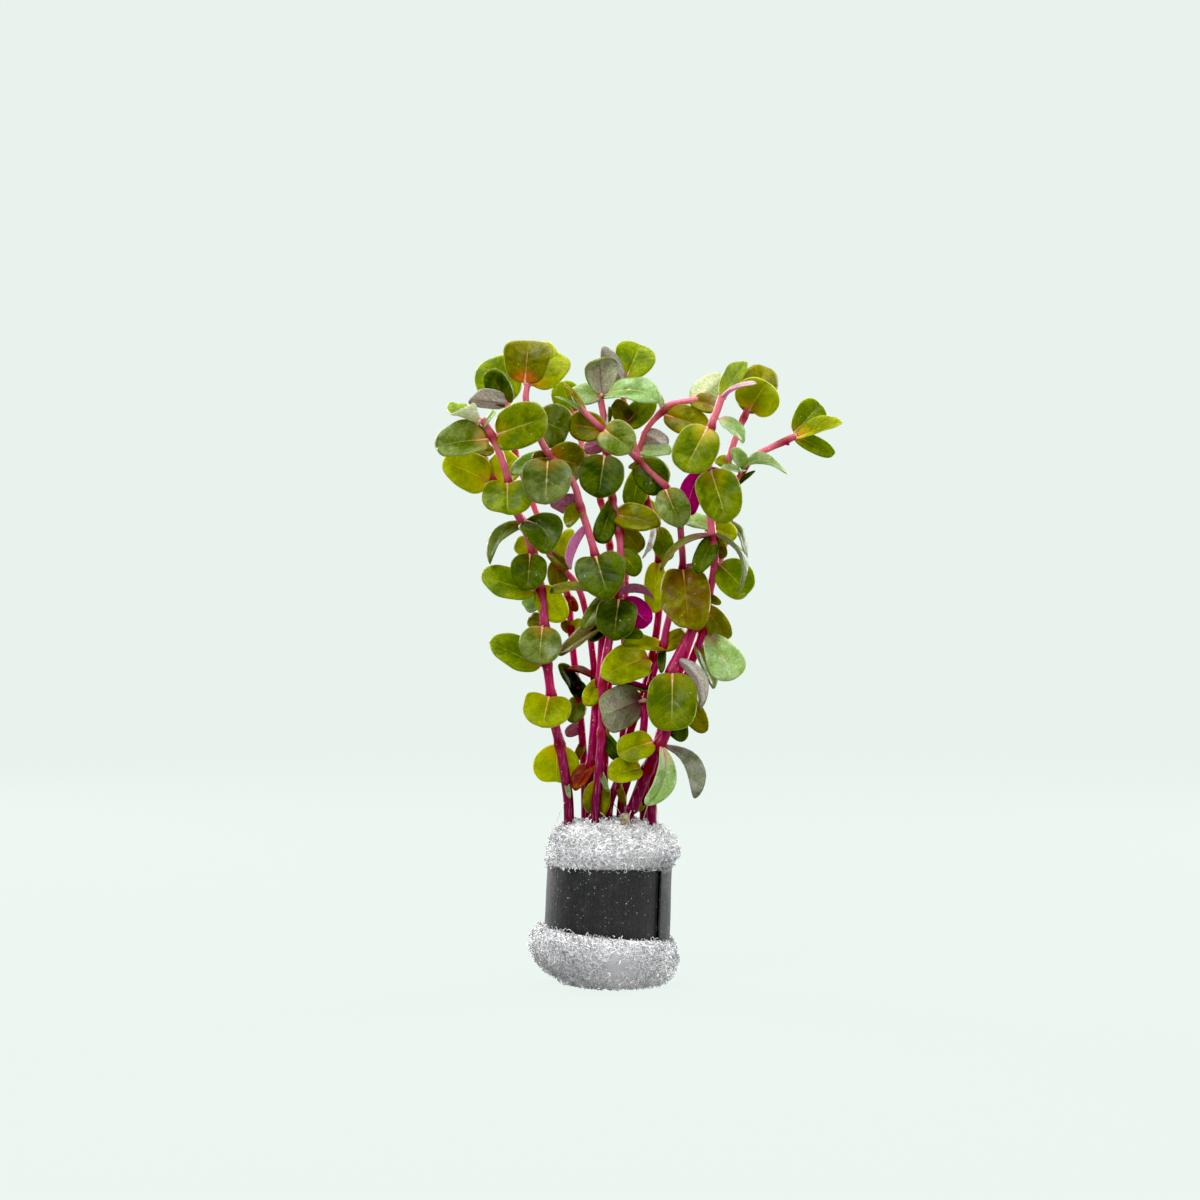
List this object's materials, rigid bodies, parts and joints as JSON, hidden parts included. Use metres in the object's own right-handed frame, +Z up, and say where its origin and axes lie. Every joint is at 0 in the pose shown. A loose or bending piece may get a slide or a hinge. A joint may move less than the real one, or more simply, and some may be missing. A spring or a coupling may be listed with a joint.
{
  "type": "bunch of rotala aquarium plants",
  "caption": "Upright bunch of leafy round-leaved rotala shoots pushed into an open-celled foam plug, with a strip of soft dark metal wrapped round its waist",
  "frame": {"origin": "the middle of the foam plug's flat underside, on the surface that the bunch stands on", "axes": "+Z up along the stems, +X to the right as seen from the front, +Y away from the viewer to the back"},
  "size_m": [0.0808, 0.0298, 0.129],
  "materials": {
    "foam": "open-celled white foam",
    "soft_metal": "dull dark grey soft metal",
    "stub": "dry cut plant stem",
    "stem": "smooth waxy plant stem",
    "leaf_green": "waxy leaf",
    "leaf_dark": "waxy leaf",
    "leaf_olive": "waxy leaf",
    "leaf_yellow": "waxy leaf",
    "leaf_grey": "waxy leaf with a soft sheen",
    "leaf_pale": "waxy leaf seen from its pale side",
    "leaf_underside": "matte leaf underside",
    "leaf_magenta": "leaf underside with the light behind it",
    "leaf_brown": "wilting waxy leaf"
  },
  "bodies": {
    "root": {"foam_plug": "foam", "metal_strip": "soft_metal", "stem_stub": "stub", "stem_left_front": "stem", "stem_left_middle": "stem", "stem_centre_front": "stem", "stem_left_outer": "stem", "stem_left_back": "stem", "stem_centre_back": "stem", "stem_right_branch": "stem", "stem_centre_right": "stem", "stem_diagonal": "stem", "stem_right_inner": "stem", "stem_right_front": "stem", "stem_right_outer": "stem", "leaf_left_front_1": "leaf_green", "leaf_left_front_2": "leaf_grey", "leaf_left_front_3": "leaf_green", "leaf_left_front_4": "leaf_green", "leaf_left_front_5": "leaf_dark", "leaf_left_front_6": "leaf_dark", "leaf_left_front_7": "leaf_green", "leaf_left_front_8": "leaf_grey", "leaf_left_front_9": "leaf_green", "leaf_left_front_10": "leaf_yellow", "leaf_left_front_11": "leaf_yellow", "leaf_left_middle_1": "leaf_olive", "leaf_left_middle_2": "leaf_yellow", "leaf_left_middle_3": "leaf_grey", "leaf_left_middle_4": "leaf_grey", "leaf_left_middle_5": "leaf_dark", "leaf_centre_front_1": "leaf_underside", "leaf_centre_front_2": "leaf_green", "leaf_centre_front_3": "leaf_dark", "leaf_centre_front_4": "leaf_dark", "leaf_centre_front_5": "leaf_magenta", "leaf_left_outer_1": "leaf_yellow", "leaf_left_back_1": "leaf_green", "leaf_right_branch_1": "leaf_olive", "leaf_centre_right_1": "leaf_green", "leaf_centre_right_2": "leaf_green", "leaf_centre_right_3": "leaf_yellow", "leaf_centre_right_4": "leaf_yellow", "leaf_diagonal_1": "leaf_grey", "leaf_diagonal_2": "leaf_grey", "leaf_diagonal_3": "leaf_brown", "leaf_diagonal_4": "leaf_underside", "leaf_right_inner_1": "leaf_yellow", "leaf_right_inner_2": "leaf_green", "leaf_right_inner_3": "leaf_yellow", "leaf_right_inner_4": "leaf_yellow", "leaf_right_inner_5": "leaf_pale", "leaf_right_front_1": "leaf_green", "leaf_right_front_2": "leaf_green", "leaf_right_front_3": "leaf_pale", "leaf_right_front_4": "leaf_green", "leaf_right_front_5": "leaf_green", "leaf_right_front_6": "leaf_pale", "leaf_right_outer_1": "leaf_green", "leaf_right_outer_2": "leaf_yellow"}
  },
  "joints": []
}
